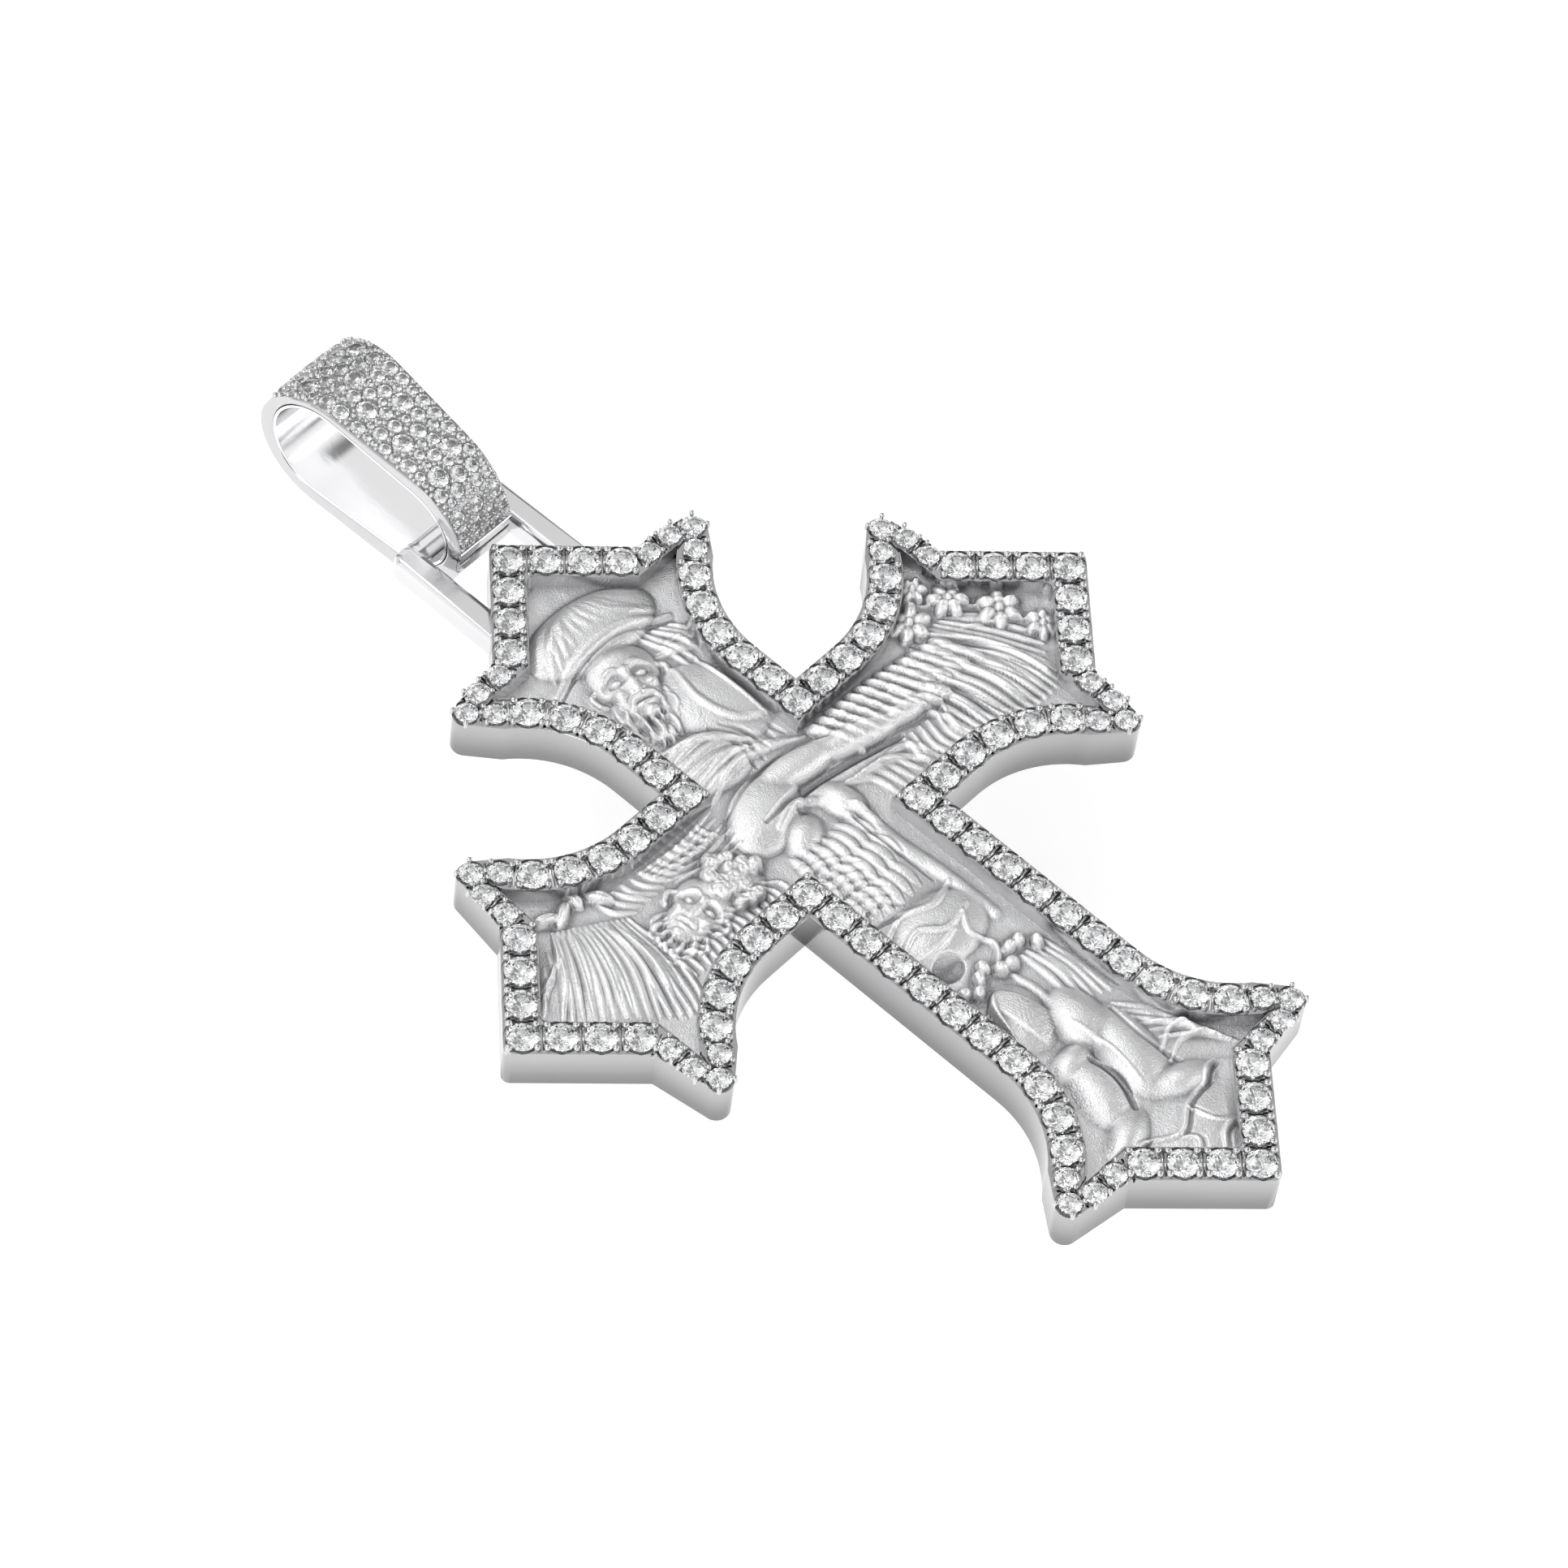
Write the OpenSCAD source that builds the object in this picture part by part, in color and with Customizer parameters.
// Cross pendant: a stone-set rim around a relief panel, hung on a wide stone-set bail.
// Millimetres. Origin: crossing of the arms on the back face. +X right arm, +Y bail, +Z front.

/* [Cross] */
// Centre to the stone at the tip of the top, left and right arms
arm_reach = 22; // [20:0.1:27]
// How much further the foot arm reaches than the others
foot_extra = 10.7; // [8:0.1:18]
// Centre line to the row of stones along an arm
shaft_line = 4.48; // [4.2:0.01:4.9]
// Height of the rim above the back face
rim_h = 3; // [2.4:0.1:4.5]
// Bright edge left between a stone and the edge of the rim
rim_edge = 0.155; // [0.1:0.005:0.3]

/* [Flared ends] */
// Radius of the hollow flank, at the row of stones
flank_r = 8.18; // [7.6:0.01:9]
// Distance from the tip stone back to the level where a flank starts
flank_back = 13.42; // [12.8:0.01:14]
// Distance from the tip stone back to the row of stones along the top of a horn
horn_back = 5.03; // [4.8:0.01:5.2]
// Distance from the tip stone back to the stone at the point of a horn
horn_tip_back = 5.54; // [5.3:0.01:5.8]
// Centre line to the stone at the point of a horn
horn_line = 9.06; // [8.9:0.01:9.3]
// Rounding radius of the corner outside the tip stone
tip_round = 0.5; // [0.2:0.05:0.9]

/* [Stones] */
// Diameter of the main stones
stone_d = 1.75; // [1.4:0.01:1.8]
// Diameter of the smaller stones at the horns
horn_stone_d = 1.3; // [1.1:0.01:1.34]
// Centre to centre of the stones along the tip
tip_pitch = 2.08; // [1.95:0.01:2.12]
// Centre to centre of the stones along the foot shaft, before they are shared out evenly
shaft_pitch = 2.1; // [1.95:0.01:2.4]
// Gap between a stone and its seat
seat_gap = 0.03; // [0.02:0.01:0.05]
// How far a claw stands above the rim
claw_h = 0.3; // [0.2:0.05:0.45]

/* [Relief] */
// Thickness of the back plate
plate_t = 0.9; // [0.6:0.1:1.4]
// Thickness of the relief panel where it is lowest
panel_t = 0.3; // [0.2:0.05:0.5]
// How far the highest part of the relief stays below the rim
relief_drop = 0.15; // [0.1:0.05:0.6]
// Gap between the rim and what is set inside it
set_gap = 0.02; // [0.01:0.01:0.05]

/* [Hanger loop] */
// Space left between each side of the bail and the loop's arm beside it
loop_side_gap = 0.27; // [0.2:0.01:0.6]
// Width of each arm of the loop
loop_arm_w = 1.65; // [1.2:0.05:2]
// Height of each arm of the loop
loop_arm_h = 1.8; // [1.4:0.1:2.2]
// Radius of the bar that the bail hangs on
loop_bar_r = 0.7; // [0.5:0.05:0.8]
// Space left between the bar and the bail's round inside as the bail swings
bar_clear = 0.22; // [0.1:0.01:0.5]

/* [Bail] */
// Gap between the bail's lower end and the corner of the cross
bail_clear = 0.36; // [0.3:0.01:1]
// Outer radius of the bail's lower end
bail_low_r = 4.3; // [4.1:0.05:4.8]
// Outer radius of the bail's upper end
bail_top_r = 4.4; // [4.2:0.05:4.8]
// Distance between the centres of the two ends
bail_span = 5.84; // [5:0.01:12]
// Lean of the bail towards the front, in degrees
bail_lean = 6.9; // [0:0.1:10]
// Wall at the lower end
bail_low_wall = 1.35; // [1.2:0.05:1.5]
// Wall at the upper end
bail_top_wall = 1.05; // [1:0.05:1.3]
// Thickness of the polished lining inside the wall
sleeve_t = 0.2; // [0.15:0.05:0.25]
// Half the bail's width at its lower end
bail_low_w = 2; // [1.9:0.05:2.1]
// Half the bail's width at its upper end
bail_top_w = 3.1; // [2.8:0.05:3.2]
// Radius across the bail's domed front
dome_r = 11; // [9:0.5:20]

/* [Bail stones] */
// Diameter of the large stones in the pave
large_d = 1.25; // [1:0.01:1.3]
// Diameter of the small stones in the pave
small_d = 0.78; // [0.6:0.01:0.8]
// Centre to centre of the small stones
pave_pitch = 0.94; // [0.9:0.01:1.1]
// Plain edge beside the pave
pave_edge = 0.1; // [0.05:0.05:0.3]
// Radius of the beads between the stones
bead_r = 0.13; // [0.08:0.01:0.14]
// How far the pave runs over the top, in degrees past the highest point
pave_over = 60; // [0:1:70]

/* [Hidden] */
$fn = 48;

// Share of its diameter that each part of a cut stone takes
table_part = 0.56;
crown_part = 0.155;
girdle_part = 0.03;
pavilion_part = 0.43;
crown_turn = 42;

// Each arm: its turn about Z and how far its flared end moves out
TOP = [0, 0];
LEFT = [90, 0];
FOOT = [180, foot_extra];
RIGHT = [-90, 0];
ARMS = [RIGHT, TOP, LEFT, FOOT];

// Half the band that carries the main stones and the smaller ones
main_half = stone_d / 2 + rim_edge;
horn_half = horn_stone_d / 2 + rim_edge;
rim_w = 2 * main_half;
horn_w = 2 * horn_half;
// Outside lines of an arm
outer_shaft = shaft_line + main_half;
flank_x = shaft_line + flank_r;
outer_flank_r = flank_r - main_half;
tip_corner = arm_reach + main_half * sqrt(2);
horn_top = arm_reach - horn_back + horn_half;
// Stones between the crotch and the flank, on a short arm and on the foot
short_run = arm_reach - flank_back - shaft_line;
short_count = round(short_run / shaft_pitch);
foot_count = round((short_run + foot_extra) / shaft_pitch);
// Steps along the hollow flank, in degrees, the last one to a smaller stone
flank_pitch = tip_pitch - 0.04;
flank_step = 2 * asin(flank_pitch / 2 / flank_r);
flank_main = 3;
flank_last_step = 12.4;
flank_last = flank_step * flank_main + flank_last_step;
// Small stones beside the one at the horn's corner, first and second
horn_pitch = 1.4;
horn_far_pitch = 1.68;
// How the curves of the outline are divided, in degrees but for the first
flank_parts = 14;
flank_end = 127;
horn_from = -40;
horn_turn = 13;
tip_turn = 9;

function turned(p, a) = [p.x * cos(a) - p.y * sin(a), p.x * sin(a) + p.y * cos(a)];
function from(c, r, a) = [c.x + r * cos(a), c.y + r * sin(a)];

// One side of an arm, crotch to tip: d moves the edge in, dh does so along the horn
function arm_side(d, dh, extra) =
    let (
        flank_c = [flank_x, arm_reach - flank_back + extra],
        r = outer_flank_r + d,
        top = horn_top - dh + extra,
        corner = tip_corner - d * sqrt(2) + extra,
        horn_c = [horn_line, arm_reach - horn_tip_back + extra],
        end = d == 0 ? flank_end : 180 - acos(sqrt(1 - pow((top - flank_c.y) / r, 2)))
    )
    concat(
        [[outer_shaft - d, outer_shaft - d]],
        [for (i = [0 : flank_parts]) from(flank_c, r, 180 + (end - 180) * i / flank_parts)],
        d > 0 ? [] : [for (a = [horn_from : horn_turn : 90]) from(horn_c, horn_half, a)],
        [[corner - top, top]],
        [for (a = [45 : tip_turn : 90])
            from([0, corner - tip_round * sqrt(2)], tip_round, a)]
    );

function arm_outline(d, dh, extra) =
    let (side = arm_side(d, dh, extra), last = len(side) - 1)
    concat(side, [for (i = [last - 1 : -1 : 1]) [-side[i].x, side[i].y]]);

module cross_plan(d = 0, dh = 0) {
    polygon([for (arm = ARMS, p = arm_outline(d, dh, arm[1])) turned(p, arm[0])]);
}

// A stone is [sideways, along, diameter, angles of its claws]
function run_claws(way) = [for (half = [0, 180], side = [-1, 1]) way + half + side * crown_turn];

function shaft_stones(count, extra) =
    let (run = short_run + extra)
    [for (i = [1 : 1 : count - 1]) [shaft_line, shaft_line + run * i / count, stone_d, run_claws(90)]];

function flank_stones(extra) =
    [for (i = [0 : flank_main])
        let (p = from([flank_x, arm_reach - flank_back + extra], flank_r, 180 - i * flank_step))
        [p.x, p.y, stone_d, run_claws(90 - i * flank_step)]];

function tip_run(extra) =
    [for (i = [1 : 3])
        let (step = i * tip_pitch / sqrt(2))
        [step, arm_reach + extra - step, stone_d, run_claws(-45)]];

function small_horn_stones(extra) =
    let (
        last = from([flank_x, arm_reach - flank_back + extra], flank_r, 180 - flank_last),
        row = arm_reach - horn_back + extra
    )
    [
        [last.x, last.y, horn_stone_d, run_claws(90 - flank_last)],
        [horn_line, arm_reach - horn_tip_back + extra, horn_stone_d, [50, 140, 230, 320]],
        [horn_line - horn_pitch, row, horn_stone_d, run_claws(0)],
        [horn_line - horn_pitch - horn_far_pitch, row, horn_stone_d, run_claws(0)]
    ];

function main_stones(count, extra) =
    concat(shaft_stones(count, extra), flank_stones(extra), tip_run(extra));
function tip_stone(extra) = [0, arm_reach + extra, stone_d, [-3, 90, 183, 270]];
CROTCH = [shaft_line, shaft_line, stone_d, [45, 132, 225, -42]];

// A round cut stone, standing on the level of its girdle
module stone(d) {
    rotate_extrude()
        polygon([
            [0, -pavilion_part * d],
            [d / 2, 0],
            [d / 2, girdle_part * d],
            [table_part * d / 2, (girdle_part + crown_part) * d],
            [0, (girdle_part + crown_part) * d]
        ]);
}

// The hole that a stone sits in
module seat(d) {
    r = d / 2 + seat_gap;
    rotate_extrude()
        polygon([
            [0, -pavilion_part * d - 2 * seat_gap],
            [2 * seat_gap, -pavilion_part * d - 2 * seat_gap],
            [r, -seat_gap / 2],
            [r, d],
            [0, d]
        ]);
}

// A claw, cut down to a point
module claw(r, h) {
    rotate_extrude()
        polygon([[0, 0], [r, 0], [r, h - r], [0, h]]);
}

module stones_at(list) {
    for (s = list) translate([s.x, s.y, rim_h]) stone(s[2]);
}

module both_sides() {
    children();
    mirror([1, 0, 0]) children();
}

claw_part = 0.083;

module claws_at(list) {
    for (s = list) union() {
        r = claw_part * s[2];
        reach = s[2] / 2 + r + seat_gap;
        for (a = s[3]) translate([s.x + reach * cos(a), s.y + reach * sin(a), rim_h]) claw(r, claw_h);
    }
}

module seats_at(list) {
    for (s = list) translate([s.x, s.y, rim_h]) seat(s[2]);
}

module on_arm(arm) {
    rotate([0, 0, arm[0]]) children();
}

function arm_count(arm) = arm[1] > 0 ? foot_count : short_count;

module rim_frame() {
    color("silver") difference() {
        linear_extrude(rim_h) cross_plan();
        translate([0, 0, -1]) linear_extrude(rim_h + 2) cross_plan(rim_w, horn_w);
        for (arm = ARMS) on_arm(arm) {
            both_sides() {
                seats_at(main_stones(arm_count(arm), arm[1]));
                seats_at(small_horn_stones(arm[1]));
            }
            seats_at([tip_stone(arm[1])]);
            seats_at([CROTCH]);
        }
    }
}

module back_plate() {
    color("gainsboro") linear_extrude(plate_t) cross_plan(rim_w + set_gap, horn_w + set_gap);
}

// A low dome of the relief: radius at the panel, top height above the back face
module swell(x, y, r, top) {
    rise = top - plate_t - panel_t;
    ball = (r * r + rise * rise) / (2 * rise);
    translate([x, y, top - ball]) sphere(ball);
}

// The relief's masses: [sideways, along, radius, how far under the highest ones]
TOP_MASSES = [[0, arm_reach - 7.5, 4, 0], [0.5, arm_reach - 13, 3.4, 0.4]];
MIDDLE_MASSES = [[-0.5, 0.8, 5, 0]];
RIGHT_MASSES = [[arm_reach - 7, 0, 4.4, 0], [arm_reach - 13.5, 0.2, 3.2, 0.3]];
LEFT_MASSES = [[12.5 - arm_reach, 0, 3.6, 0], [6 - arm_reach, 0, 4, 0.4]];
foot_reach = arm_reach + foot_extra;
FOOT_MASSES = [[0, -7.5, 3.6, 0.4], [-0.3, -foot_reach / 2, 3.4, 0], [0, 7 - foot_reach, 4.2, 0.3]];

module relief_panel() {
    high = rim_h - relief_drop;
    color("lightgray") intersection() {
        translate([0, 0, plate_t]) linear_extrude(rim_h) cross_plan(rim_w + set_gap, horn_w + set_gap);
        union() {
            translate([-2 * arm_reach, -2 * arm_reach - foot_extra, plate_t])
                cube([4 * arm_reach, 4 * arm_reach + foot_extra, panel_t]);
            for (m = concat(TOP_MASSES, MIDDLE_MASSES, RIGHT_MASSES, LEFT_MASSES, FOOT_MASSES))
                swell(m.x, m.y, m[2], high - m[3]);
        }
    }
}

/* ---- where the bail hangs, and how its width grows upwards ---- */
bail_low_c = [tip_corner - tip_round * (sqrt(2) - 1) + bail_clear + bail_low_r, rim_h];
bail_top_c = [
    bail_low_c.x + bail_span * cos(bail_lean),
    bail_low_c.y + bail_span * sin(bail_lean)
];
bail_foot_y = bail_low_c.x - bail_low_r;
bail_head_y = bail_top_c.x + bail_top_r;
bail_taper = (bail_top_w - bail_low_w) / (bail_head_y - bail_foot_y);
function bail_half(y) = bail_low_w + bail_taper * (y - bail_foot_y);

/* ---- hanger loop ---- */
low_inner_r = bail_low_r - bail_low_wall;
bar_way = 218;
bar_c = from(bail_low_c, low_inner_r - loop_bar_r - bar_clear, bar_way);
bar_proud = 0.1;
bar_root = 0.5;
loop_low = bar_c.y + loop_bar_r - loop_arm_h - bar_proud;
loop_end = bar_c.x + loop_bar_r;
loop_gap = bail_half(bail_low_c.x) + loop_side_gap;
loop_outer = loop_gap + loop_arm_w;
loop_round_part = 0.45;
loop_round = loop_arm_w * loop_round_part;

module hanger_loop() {
    color("silver") difference() {
        union() {
            both_sides() translate([0, 0, loop_low]) linear_extrude(loop_arm_h) {
                translate([loop_gap, 0]) square([loop_arm_w, loop_end - loop_round]);
                translate([loop_gap, 0]) square([loop_arm_w - loop_round, loop_end]);
                translate([loop_outer - loop_round, loop_end - loop_round]) circle(loop_round);
            }
            translate([-loop_gap - bar_root, bar_c.x, bar_c.y]) rotate([0, 90, 0])
                cylinder(r = loop_bar_r, h = 2 * loop_gap + 2 * bar_root);
        }
        // the arms end on the slanting sides of the top arm
        translate([0, 0, -rim_h]) linear_extrude(3 * rim_h)
            polygon([[-tip_corner, 0], [0, tip_corner], [tip_corner, 0]]);
    }
}

/* ---- bail ---- */
top_inner_r = bail_top_r - bail_top_wall;

// The straight sides lie this far inside the rounds, so that no two surfaces are tangent
hairline = 0.004;

// Directions, from +Y towards +Z, in which the two straight sides face
function front_way(r1, r2) = bail_lean + 90 + asin((r2 - r1) / bail_span);
function back_way(r1, r2) = bail_lean - 90 - asin((r2 - r1) / bail_span);

// Two rounds and what lies between them, solid along X
module bail_solid(r1, r2, half) {
    rotate([90, 0, 90]) translate([0, 0, -half]) {
        translate(bail_low_c) cylinder(r = r1, h = 2 * half);
        translate(bail_top_c) cylinder(r = r2, h = 2 * half);
        linear_extrude(2 * half) polygon([
            from(bail_low_c, r1 - hairline, front_way(r1, r2)),
            from(bail_top_c, r2 - hairline, front_way(r1, r2)),
            from(bail_top_c, r2 - hairline, back_way(r1, r2)),
            from(bail_low_c, r1 - hairline, back_way(r1, r2))
        ]);
    }
}

module bail_plan() {
    over = 1;
    low = bail_foot_y - over;
    high = bail_head_y + over;
    translate([0, 0, -3 * bail_top_r]) linear_extrude(8 * bail_top_r)
        polygon([
            [-bail_half(low), low], [bail_half(low), low],
            [bail_half(high), high], [-bail_half(high), high]
        ]);
}

// Keeps what lies under the dome across the front
module under_dome() {
    mid = (bail_low_c + bail_top_c) / 2;
    front = from(mid, (bail_low_r + bail_top_r) / 2 - dome_r - 3 * hairline, bail_lean + 90);
    way = front_way(bail_low_r, bail_top_r) - 90;
    translate([0, front.x, front.y]) rotate([way, 0, 0]) rotate([90, 0, 0])
        cylinder(r = dome_r, h = 6 * bail_span, center = true, $fn = 96);
}

/* The pave is laid out by distance along the front, from the crease near the foot */
crease_way = 133;
front_face = front_way(bail_low_r, bail_top_r);
low_arc = bail_low_r * (crease_way - front_face) * PI / 180;
flat_run = sqrt(pow(bail_span, 2) - pow(bail_top_r - bail_low_r, 2));
top_arc = bail_top_r * (front_face + pave_over) * PI / 180;
pave_run = low_arc + flat_run + top_arc;

function pave_way(u) =
    u < low_arc ? crease_way - u / bail_low_r * 180 / PI
    : u < low_arc + flat_run ? front_face
    : front_face - (u - low_arc - flat_run) / bail_top_r * 180 / PI;

function pave_point(u) =
    u < low_arc ? from(bail_low_c, bail_low_r, pave_way(u))
    : u < low_arc + flat_run
        ? from(bail_low_c, bail_low_r, front_face)
            + (u - low_arc) * [cos(front_face - 90), sin(front_face - 90)]
    : from(bail_top_c, bail_top_r, pave_way(u));

// The dome lowers the surface towards its edges, on the straight front
function dome_drop(u, x) =
    let (lift = sin(pave_way(u) - bail_lean)) max(0, lift) * (dome_r - sqrt(dome_r * dome_r - x * x));

module on_pave(u, x) {
    p = pave_point(u);
    way = pave_way(u);
    drop = dome_drop(u, x);
    translate([x, p.x - drop * cos(way), p.y - drop * sin(way)]) rotate([way - 90, 0, 0]) children();
}

// Large stones: [rows along, columns across], each in place of four small ones
LARGE = [
    [1.5, -1], [2.5, 1], [4.5, -1], [6.5, 1], [7.5, -1], [9.5, 0],
    [11.5, -2], [11.5, 2], [14.5, 0], [16.5, -2], [17.5, 1],
    [19.5, -1], [20.5, 2]
];
rows = floor((pave_run - small_d) / pave_pitch);
half_columns = floor(bail_top_w / pave_pitch) + 0.5;
large_reach = 0.6;
front_rows = round(rows / 2);
function row_u(i) = small_d / 2 + pave_edge + i * pave_pitch;
function room(u) = bail_half(pave_point(u).x) - pave_edge;
function far_from_large(i, j, least) =
    min([for (g = LARGE) max(abs(i - g.x), abs(j - g.y))]) > least;

large_spots = [for (g = LARGE)
    let (u = row_u(g.x), x = g.y * pave_pitch)
    if (g.x < rows && abs(x) + large_d / 2 < room(u)) [u, x]];
function small_row(i) = [for (j = [-half_columns : 1 : half_columns])
    let (u = row_u(i), x = j * pave_pitch)
    if (abs(x) + small_d / 2 < room(u) && far_from_large(i, j, large_reach)) [u, x]];
function bead_row(i) = [for (j = [0.5 - half_columns : 1 : half_columns - 0.5])
    let (u = row_u(i), x = j * pave_pitch)
    if (abs(x) + bead_r < room(u) && far_from_large(i, j, large_reach)) [u, x]];

// Stones between the crease and the foot strip: [degrees past the crease, count, diameter]
FOOT_ROWS = [[8, 3, 1], [20.5, 4, 0.78], [31, 5, 0.6]];
foot_spots = [for (row = FOOT_ROWS, i = [0 : row[1] - 1])
    let (
        way = crease_way + row[0],
        half = bail_half(from(bail_low_c, bail_low_r, way).x) - pave_edge - row[2] / 2
    )
    [way, half * (2 * i / (row[1] - 1) - 1), row[2]]];

module on_foot(way, x) {
    p = from(bail_low_c, bail_low_r, way);
    translate([x, p.x, p.y]) rotate([way - 90, 0, 0]) children();
}

/* The polished double step at the foot of the bail */
strip_way = 182.5;
strip_h = 1.7;
strip_t = 0.12;
strip_sink = 0.3;
strip_floor = bail_low_r - strip_sink;
step_h = 0.16;
step_in = 0.08;

module on_strip() {
    translate([0, bail_low_c.x, bail_low_c.y]) rotate([strip_way - 90, 0, 0])
        translate([0, 0, strip_floor]) children();
}

module bail_shell() {
    color("silver") difference() {
        intersection() {
            bail_solid(bail_low_r, bail_top_r, bail_top_w + 1);
            bail_plan();
            under_dome();
        }
        bail_solid(low_inner_r + sleeve_t, top_inner_r + sleeve_t, bail_top_w + 2);
        for (s = large_spots) on_pave(s[0], s[1]) seat(large_d);
        for (i = [0 : rows], s = small_row(i)) on_pave(s[0], s[1]) seat(small_d);
        for (s = foot_spots) on_foot(s[0], s[1]) seat(s[2]);
        on_strip() translate([-bail_top_w, -strip_h / 2 - set_gap, -set_gap])
            cube([2 * bail_top_w, strip_h + 2 * set_gap, 2]);
    }
}

module bail_sleeve() {
    color("whitesmoke") intersection() {
        difference() {
            bail_solid(low_inner_r + sleeve_t - set_gap, top_inner_r + sleeve_t - set_gap, bail_top_w + 1);
            bail_solid(low_inner_r, top_inner_r, bail_top_w + 2);
        }
        bail_plan();
    }
}

module bail_foot_strip() {
    color("silver") intersection() {
        on_strip() {
            translate([-bail_top_w, -strip_h / 2, 0]) cube([2 * bail_top_w, strip_h, strip_t]);
            translate([-bail_top_w, step_in, 0])
                cube([2 * bail_top_w, strip_h / 2 - 2 * step_in, strip_t + step_h]);
            translate([-bail_top_w, step_in - strip_h / 2, 0])
                cube([2 * bail_top_w, strip_h / 2 - 3 * step_in, strip_t + step_h / 2]);
        }
        bail_plan();
    }
}

module bail_large_stones() {
    color("white") for (s = large_spots) on_pave(s[0], s[1]) stone(large_d);
}

module bail_small_stones(first, last) {
    color("white") for (i = [first : last], s = small_row(i)) on_pave(s[0], s[1]) stone(small_d);
}

module bail_foot_stones() {
    color("white") for (s = foot_spots) on_foot(s[0], s[1]) stone(s[2]);
}

module bail_beads(first, last) {
    color("silver") for (i = [first : last], s = bead_row(i + 0.5))
        on_pave(s[0], s[1]) translate([0, 0, bead_r]) sphere(bead_r);
}

/* ---- stones and claws of the cross ---- */
module arm_stones(arm) {
    color("white") on_arm(arm) both_sides() stones_at(main_stones(arm_count(arm), arm[1]));
}

module arm_claws(arm) {
    color("silver") on_arm(arm) {
        both_sides() {
            claws_at(main_stones(arm_count(arm), arm[1]));
            claws_at(small_horn_stones(arm[1]));
        }
        claws_at([tip_stone(arm[1])]);
    }
}

module tip_stones() {
    color("white") for (arm = ARMS) on_arm(arm) stones_at([tip_stone(arm[1])]);
}

module crotch_stones() {
    color("white") for (arm = ARMS) on_arm(arm) stones_at([CROTCH]);
}

module horn_stones() {
    color("white") for (arm = ARMS) on_arm(arm) both_sides() stones_at(small_horn_stones(arm[1]));
}

module crotch_claws() {
    color("silver") for (arm = ARMS) on_arm(arm) claws_at([CROTCH]);
}

rim_frame();
back_plate();
relief_panel();
hanger_loop();
arm_stones(TOP);  // top_stones
arm_stones(RIGHT);  // right_stones
arm_stones(LEFT);  // left_stones
arm_stones(FOOT);  // foot_stones
tip_stones();
crotch_stones();
horn_stones();
arm_claws(TOP);  // top_claws
arm_claws(RIGHT);  // right_claws
arm_claws(LEFT);  // left_claws
arm_claws(FOOT);  // foot_claws
crotch_claws();
bail_shell();
bail_sleeve();
bail_foot_strip();
bail_large_stones();
bail_small_stones(0, front_rows);  // bail_front_stones
bail_small_stones(front_rows + 1, rows);  // bail_top_stones
bail_foot_stones();
bail_beads(0, front_rows);  // bail_front_beads
bail_beads(front_rows + 1, rows - 1);  // bail_top_beads
